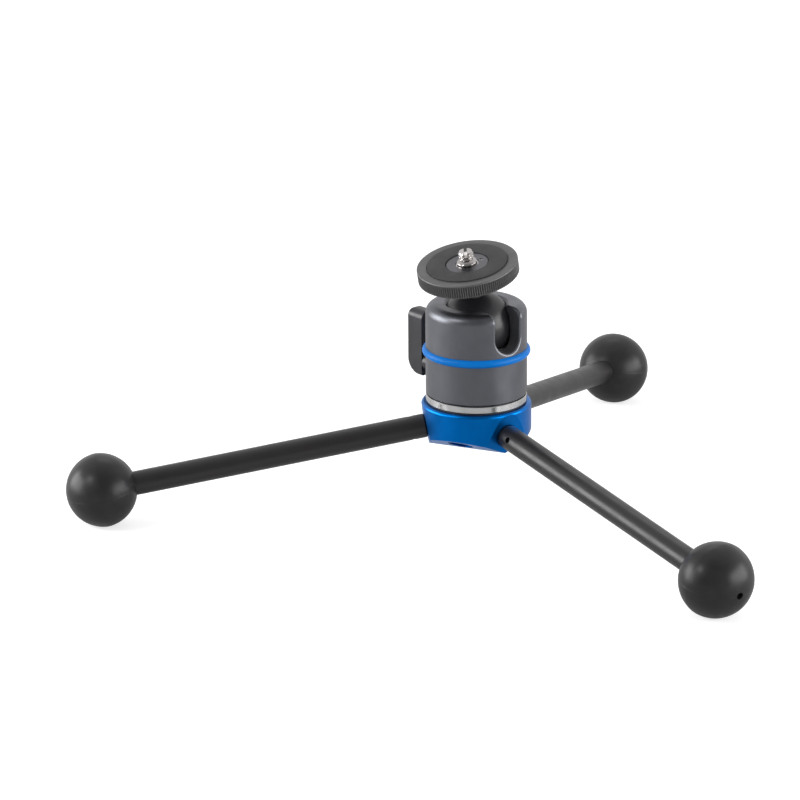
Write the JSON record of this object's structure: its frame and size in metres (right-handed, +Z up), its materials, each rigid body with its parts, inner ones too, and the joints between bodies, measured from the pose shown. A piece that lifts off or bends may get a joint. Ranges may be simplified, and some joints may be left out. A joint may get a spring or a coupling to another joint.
{
  "type": "mini tripod with ball head",
  "caption": "Low table tripod with ball-footed screw-in legs, a round hub and a notched ball head with a knurled camera platform.",
  "frame": {"origin": "on the hub's upright axis, in the plane that the three feet stand on", "axes": "+Z up along the hub's axis, -X along the first leg's azimuth"},
  "size_m": [0.2643, 0.3004, 0.1149],
  "materials": {
    "blue_anodised": "satin anodised",
    "grey_anodised": "satin anodised",
    "black_anodised": "satin anodised",
    "ball_anodised": "satin anodised",
    "bare_aluminium": "turned",
    "steel": "turned",
    "brass": "turned",
    "rubber": "matt",
    "blue_rubber": "satin",
    "seat_plastic": "matt"
  },
  "bodies": {
    "hub": {"leg_hub": "blue_anodised", "hub_stud": "steel", "hub_pad": "rubber"},
    "head": {"base_plate": "bare_aluminium", "base_screws": "steel", "ball_housing": "grey_anodised", "blue_ring": "blue_rubber", "shaft_bush": "brass"},
    "lever": {"lever_shaft": "steel", "lock_lever": "black_anodised", "lever_screw": "steel"},
    "piston": {"clamp_piston": "bare_aluminium", "ball_seat": "seat_plastic"},
    "ball": {"ball": "ball_anodised"},
    "neck": {"ball_neck": "ball_anodised"},
    "platform": {"platform_boss": "grey_anodised", "boss_set_screw": "steel", "camera_stud": "steel"},
    "disc": {"knurled_disc": "grey_anodised", "rubber_pad": "rubber"},
    "leg_stud_1": {"leg_stud_1": "steel"},
    "leg_1": {"leg_tube_1": "black_anodised", "foot_1": "rubber"},
    "leg_stud_2": {"leg_stud_2": "steel"},
    "leg_2": {"leg_tube_2": "black_anodised", "foot_2": "rubber"},
    "leg_stud_3": {"leg_stud_3": "steel"},
    "leg_3": {"leg_tube_3": "black_anodised", "foot_3": "rubber"}
  },
  "joints": [
    {"name": "head_turn", "type": "hinge", "parent": "hub", "child": "head", "pos_m": [0, 0, 0.04895], "axis": [0, 0, 1], "continuous": true},
    {"name": "lever_turn", "type": "hinge", "parent": "head", "child": "lever", "pos_m": [0, 0, 0.05791], "axis": [-0.5678, 0.8231, 0], "range_deg": [-15, 75]},
    {"name": "piston_lift", "type": "slide", "parent": "head", "child": "piston", "axis": [0, 0, 1], "range_m": [-0.00053, 0.00011]},
    {"name": "ball_swing", "type": "hinge", "parent": "head", "child": "ball", "pos_m": [0, 0, 0.08092], "axis": [0.5678, -0.8231, 0], "range_deg": [-37.1, 12.9]},
    {"name": "ball_tilt", "type": "hinge", "parent": "ball", "child": "neck", "pos_m": [0, 0, 0.08092], "axis": [0.6295, 0.7739, -0.0687], "range_deg": [-15, 92.3]},
    {"name": "platform_spin", "type": "hinge", "parent": "neck", "child": "platform", "pos_m": [-0.00337, -0.00342, 0.10286], "axis": [-0.1502, -0.1523, 0.9769], "continuous": true},
    {"name": "disc_turn", "type": "hinge", "parent": "platform", "child": "disc", "pos_m": [-0.0034, -0.00345, 0.10304], "axis": [-0.1502, -0.1523, 0.9769], "continuous": true},
    {"name": "leg_1_travel", "type": "slide", "parent": "hub", "child": "leg_stud_1", "axis": [-0.9862, 0, -0.1657], "range_m": [0, 0.00875]},
    {"name": "leg_1_screw", "type": "hinge", "parent": "leg_stud_1", "child": "leg_1", "pos_m": [-0.0211, 0, 0.03807], "axis": [-0.9862, 0, -0.1657], "range_deg": [0, 2520]},
    {"name": "leg_2_travel", "type": "slide", "parent": "hub", "child": "leg_stud_2", "axis": [0.4931, -0.854, -0.1657], "range_m": [0, 0.00875]},
    {"name": "leg_2_screw", "type": "hinge", "parent": "leg_stud_2", "child": "leg_2", "pos_m": [0.01055, -0.01828, 0.03807], "axis": [0.4931, -0.854, -0.1657], "range_deg": [0, 2520]},
    {"name": "leg_3_travel", "type": "slide", "parent": "hub", "child": "leg_stud_3", "axis": [0.4931, 0.854, -0.1657], "range_m": [0, 0.00875]},
    {"name": "leg_3_screw", "type": "hinge", "parent": "leg_stud_3", "child": "leg_3", "pos_m": [0.01055, 0.01828, 0.03807], "axis": [0.4931, 0.854, -0.1657], "range_deg": [0, 2520]}
  ],
  "couplings": [
    {"joint": "piston_lift", "follows": "lever_turn", "m_per_rad": -0.0004},
    {"joint": "leg_1_travel", "follows": "leg_1_screw", "m_per_rad": 0.00019894},
    {"joint": "leg_2_travel", "follows": "leg_2_screw", "m_per_rad": 0.00019894},
    {"joint": "leg_3_travel", "follows": "leg_3_screw", "m_per_rad": 0.00019894}
  ]
}
